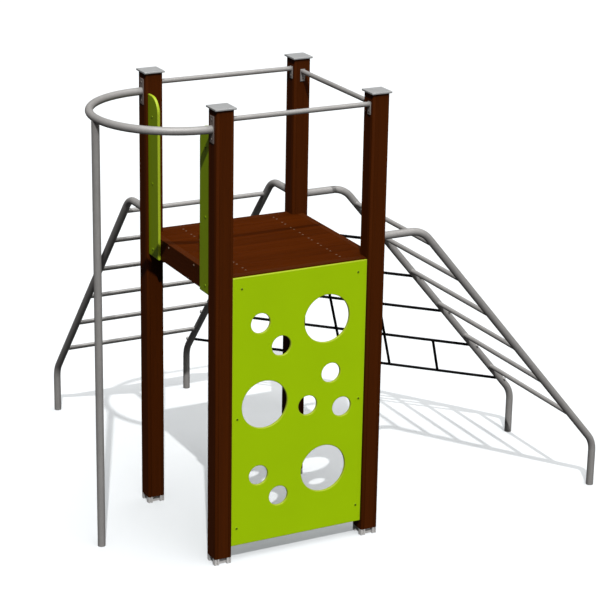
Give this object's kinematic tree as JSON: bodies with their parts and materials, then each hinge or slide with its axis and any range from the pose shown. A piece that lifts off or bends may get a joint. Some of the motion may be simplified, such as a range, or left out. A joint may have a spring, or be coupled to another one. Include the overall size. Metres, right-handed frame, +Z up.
{
  "type": "playground climbing tower",
  "caption": "Playground climbing tower with a raised deck, pierced front panel, hoop with sliding pole, back and right rung ladders, and a rope net between them.",
  "frame": {"origin": "middle of the front left post's foot, on the ground", "axes": "+X towards the right ladder, +Y towards the back ladder, +Z up"},
  "size_m": [2.9714, 2.5059, 2.535],
  "materials": {
    "post_cover": "satin wood-brown post covering with faint lengthwise streaks",
    "bare_aluminium": "bare extruded metal, satin",
    "cap_metal": "light grey satin cap",
    "tube_steel": "satin grey steel tube",
    "fastener_steel": "plain steel fasteners",
    "frame_wood": "red-brown stained timber, matte",
    "deck_wood": "red-brown stained planks, matte",
    "panel_plastic": "satin yellow-green sheet plastic",
    "rope": "black braided rope"
  },
  "bodies": {
    "root": {"post_fl": "post_cover", "post_fr": "post_cover", "post_bl": "post_cover", "post_br": "post_cover", "core_fl": "bare_aluminium", "core_fr": "bare_aluminium", "core_bl": "bare_aluminium", "core_br": "bare_aluminium", "cap_fl": "cap_metal", "cap_fr": "cap_metal", "cap_bl": "cap_metal", "cap_br": "cap_metal", "rail_front": "tube_steel", "rail_back": "tube_steel", "rail_right": "tube_steel", "rail_plates": "tube_steel", "hoop": "tube_steel", "hoop_plates": "tube_steel", "pole": "tube_steel", "plate_screws": "fastener_steel", "beam_front": "frame_wood", "beam_back": "frame_wood", "beam_left": "frame_wood", "beam_right": "frame_wood", "joist_left": "frame_wood", "joist_right": "frame_wood", "board_1": "deck_wood", "board_2": "deck_wood", "board_3": "deck_wood", "board_4": "deck_wood", "board_5": "deck_wood", "board_6": "deck_wood", "board_7": "deck_wood", "board_8": "deck_wood", "deck_screws": "fastener_steel", "beam_bolts": "fastener_steel", "front_panel": "panel_plastic", "grip_front": "panel_plastic", "grip_back": "panel_plastic", "panel_bolts": "fastener_steel", "panel_brackets": "fastener_steel", "stile_bl": "tube_steel", "stile_br_back": "tube_steel", "rungs_back": "tube_steel", "stile_fr": "tube_steel", "stile_br_right": "tube_steel", "rungs_right": "tube_steel", "rope_1": "rope", "rope_2": "rope", "rope_3": "rope", "rope_4": "rope", "rope_5": "rope", "net_uprights": "rope", "rope_ends": "fastener_steel"}
  },
  "joints": []
}
